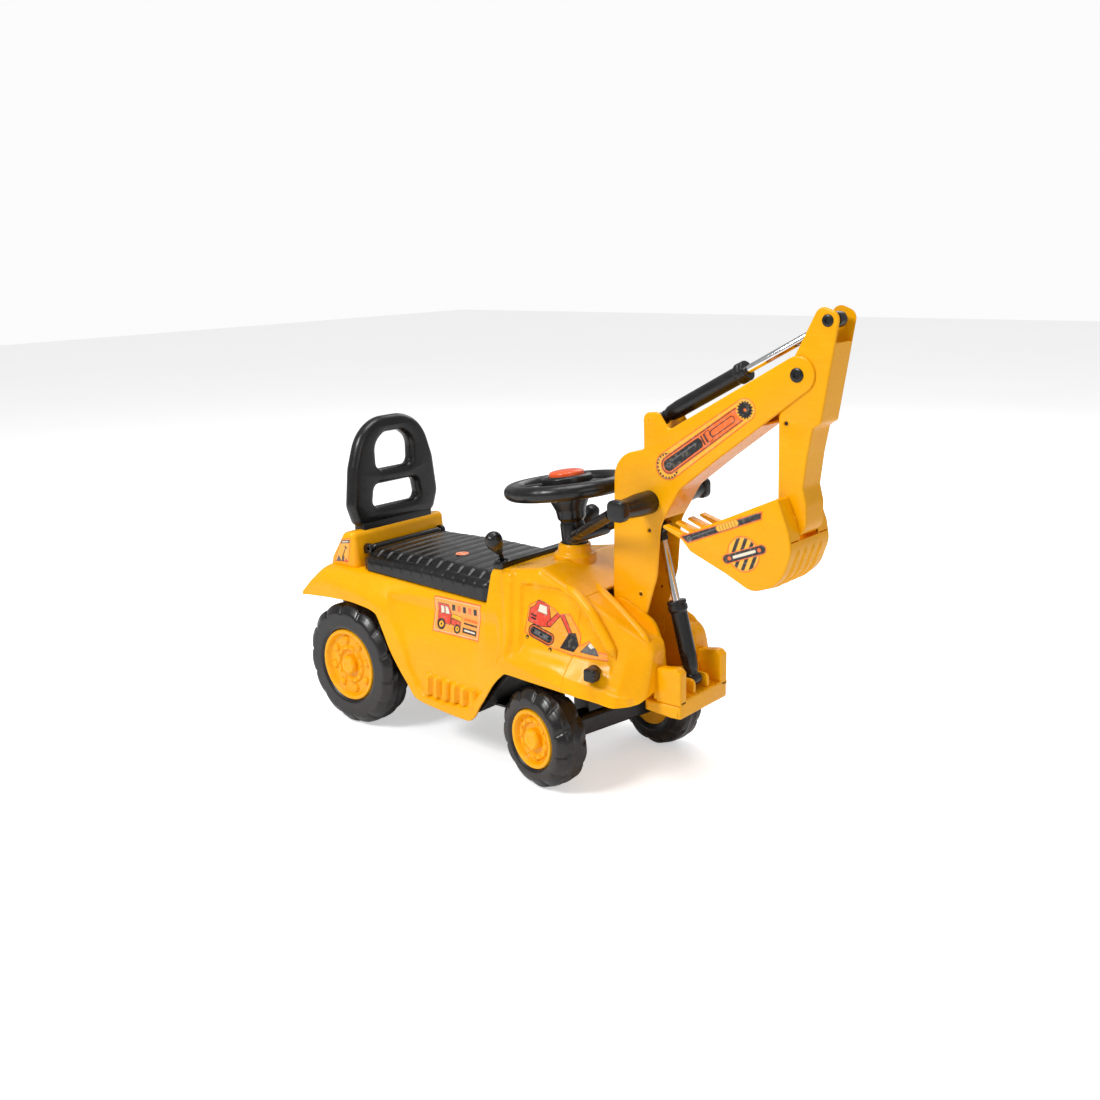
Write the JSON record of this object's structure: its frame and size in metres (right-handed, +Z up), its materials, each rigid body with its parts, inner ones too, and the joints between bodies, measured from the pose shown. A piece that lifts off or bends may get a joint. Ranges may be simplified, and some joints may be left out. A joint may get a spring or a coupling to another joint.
{
  "type": "ride-on toy excavator",
  "caption": "Foot-to-floor ride-on toy excavator with a storage seat, steered front wheels, gear levers, a two-handed digging boom, a stick, a bucket and dummy rams.",
  "frame": {"origin": "on the ground at the middle of the whole toy's box", "axes": "+X forward, the way the boom points; +Y to the rider's left; +Z up"},
  "size_m": [0.8162, 0.272, 0.6072],
  "materials": {
    "yellow_plastic": "gloss",
    "black_plastic": "gloss",
    "tyre_plastic": "satin",
    "steel": "satin",
    "chrome_rod": "polished",
    "orange_plastic": "gloss"
  },
  "bodies": {
    "chassis": {"body_shell": "yellow_plastic", "storage_tub": "yellow_plastic", "chassis_tray": "black_plastic", "boom_cradle": "yellow_plastic", "nose_platform": "yellow_plastic", "nose_skirt": "yellow_plastic", "backrest": "black_plastic", "lever_console": "black_plastic", "rear_axle": "steel", "seat_hinge_pin": "steel", "boom_foot_pin": "steel", "ram_low_foot_pin": "steel", "headlamp_left": "black_plastic", "headlamp_right": "black_plastic"},
    "seat": {"seat_lid": "black_plastic"},
    "front_axle": {"front_axle_beam": "black_plastic", "front_axle_rod": "steel"},
    "steering": {"steering_wheel": "black_plastic", "column_bell": "black_plastic", "steering_shaft": "steel"},
    "horn": {"horn_button": "orange_plastic"},
    "boom": {"boom_left": "yellow_plastic", "boom_right": "yellow_plastic", "grip_bar": "black_plastic", "grip_cap_left": "black_plastic", "grip_cap_right": "black_plastic", "u_handle": "black_plastic", "stick_pivot_pin": "steel", "ram_low_top_pin": "steel", "ram_up_foot_pin": "steel"},
    "ram_low_outer": {"ram_low_barrel": "black_plastic"},
    "ram_low_inner": {"ram_low_rod": "chrome_rod"},
    "ram_up_outer": {"ram_up_barrel": "black_plastic"},
    "ram_up_inner": {"ram_up_rod": "chrome_rod"},
    "stick": {"stick_left": "yellow_plastic", "stick_right": "yellow_plastic", "ram_up_top_pin": "steel"},
    "bucket": {"bucket": "yellow_plastic", "bucket_pin": "steel"},
    "rear_wheel_left": {"rear_tyre_left": "tyre_plastic", "rear_hub_left": "yellow_plastic", "rear_cap_left": "yellow_plastic"},
    "rear_wheel_right": {"rear_tyre_right": "tyre_plastic", "rear_hub_right": "yellow_plastic", "rear_cap_right": "yellow_plastic"},
    "front_wheel_left": {"front_tyre_left": "tyre_plastic", "front_hub_left": "yellow_plastic", "front_cap_left": "yellow_plastic"},
    "front_wheel_right": {"front_tyre_right": "tyre_plastic", "front_hub_right": "yellow_plastic", "front_cap_right": "yellow_plastic"},
    "gear_lever_left": {"lever_stem_left": "black_plastic", "lever_knob_left": "black_plastic"},
    "gear_lever_right": {"lever_stem_right": "black_plastic", "lever_knob_right": "black_plastic"}
  },
  "joints": [
    {"name": "boom_lift", "type": "hinge", "parent": "chassis", "child": "boom", "pos_m": [0.1345, 0, 0.2], "axis": [0, 1, 0], "range_deg": [0, 25]},
    {"name": "ram_low_swing", "type": "hinge", "parent": "chassis", "child": "ram_low_outer", "pos_m": [0.214, 0, 0.146], "axis": [0, 1, 0], "range_deg": [0, 16.2]},
    {"name": "ram_low_slide", "type": "slide", "parent": "ram_low_outer", "child": "ram_low_inner", "axis": [-0.2534, 0, 0.9674], "range_m": [-0.0316, 0]},
    {"name": "stick_swing", "type": "hinge", "parent": "boom", "child": "stick", "pos_m": [0.3625, 0, 0.5343], "axis": [0, 1, 0], "range_deg": [-35, 0]},
    {"name": "ram_up_swing", "type": "hinge", "parent": "boom", "child": "ram_up_outer", "pos_m": [0.167, 0, 0.4705], "axis": [0, 1, 0], "range_deg": [-6.6, 0]},
    {"name": "ram_up_slide", "type": "slide", "parent": "ram_up_outer", "child": "ram_up_inner", "axis": [0.8815, 0, 0.4721], "range_m": [-0.03, 0]},
    {"name": "bucket_tip", "type": "hinge", "parent": "stick", "child": "bucket", "pos_m": [0.3575, 0, 0.372], "axis": [0, 1, 0], "range_deg": [-60, 0]},
    {"name": "steer_axle", "type": "hinge", "parent": "chassis", "child": "front_axle", "pos_m": [0.0525, 0, 0.136], "axis": [0, 0, 1], "range_deg": [-9, 28.5]},
    {"name": "steer_column", "type": "hinge", "parent": "chassis", "child": "steering", "pos_m": [0.014, 0, 0.39], "axis": [-0.1219, 0, 0.9925], "range_deg": [-9, 28.5]},
    {"name": "horn_press", "type": "slide", "parent": "steering", "child": "horn", "axis": [0.1219, 0, -0.9925], "range_m": [0, 0.003], "stiffness_N_per_m": 400},
    {"name": "seat_lift", "type": "hinge", "parent": "chassis", "child": "seat", "pos_m": [-0.3005, 0, 0.257], "axis": [0, 1, 0], "range_deg": [-75, 0]},
    {"name": "gear_rock_left", "type": "hinge", "parent": "chassis", "child": "gear_lever_left", "pos_m": [-0.0395, 0.071, 0.268], "axis": [0, 1, 0], "range_deg": [-14, 14]},
    {"name": "rear_spin_left", "type": "hinge", "parent": "chassis", "child": "rear_wheel_left", "pos_m": [-0.3055, 0.102, 0.0912], "axis": [0, 1, 0], "continuous": true},
    {"name": "front_spin_left", "type": "hinge", "parent": "front_axle", "child": "front_wheel_left", "pos_m": [0.09184, 0.09917, 0.0668], "axis": [0.1692, 0.9856, 0], "continuous": true},
    {"name": "gear_rock_right", "type": "hinge", "parent": "chassis", "child": "gear_lever_right", "pos_m": [-0.0395, -0.071, 0.268], "axis": [0, 1, 0], "range_deg": [-14, 14]},
    {"name": "rear_spin_right", "type": "hinge", "parent": "chassis", "child": "rear_wheel_right", "pos_m": [-0.3055, -0.102, 0.0912], "axis": [0, 1, 0], "continuous": true},
    {"name": "front_spin_right", "type": "hinge", "parent": "front_axle", "child": "front_wheel_right", "pos_m": [0.05652, -0.10662, 0.0668], "axis": [0.1692, 0.9856, 0], "continuous": true}
  ],
  "couplings": [
    {"joint": "ram_low_swing", "follows": "boom_lift", "ratio": 0.644},
    {"joint": "ram_low_slide", "follows": "boom_lift", "m_per_rad": -0.072193},
    {"joint": "ram_up_swing", "follows": "stick_swing", "ratio": 0.18571},
    {"joint": "ram_up_slide", "follows": "stick_swing", "m_per_rad": 0.048783},
    {"joint": "steer_column", "follows": "steer_axle", "ratio": 1}
  ]
}
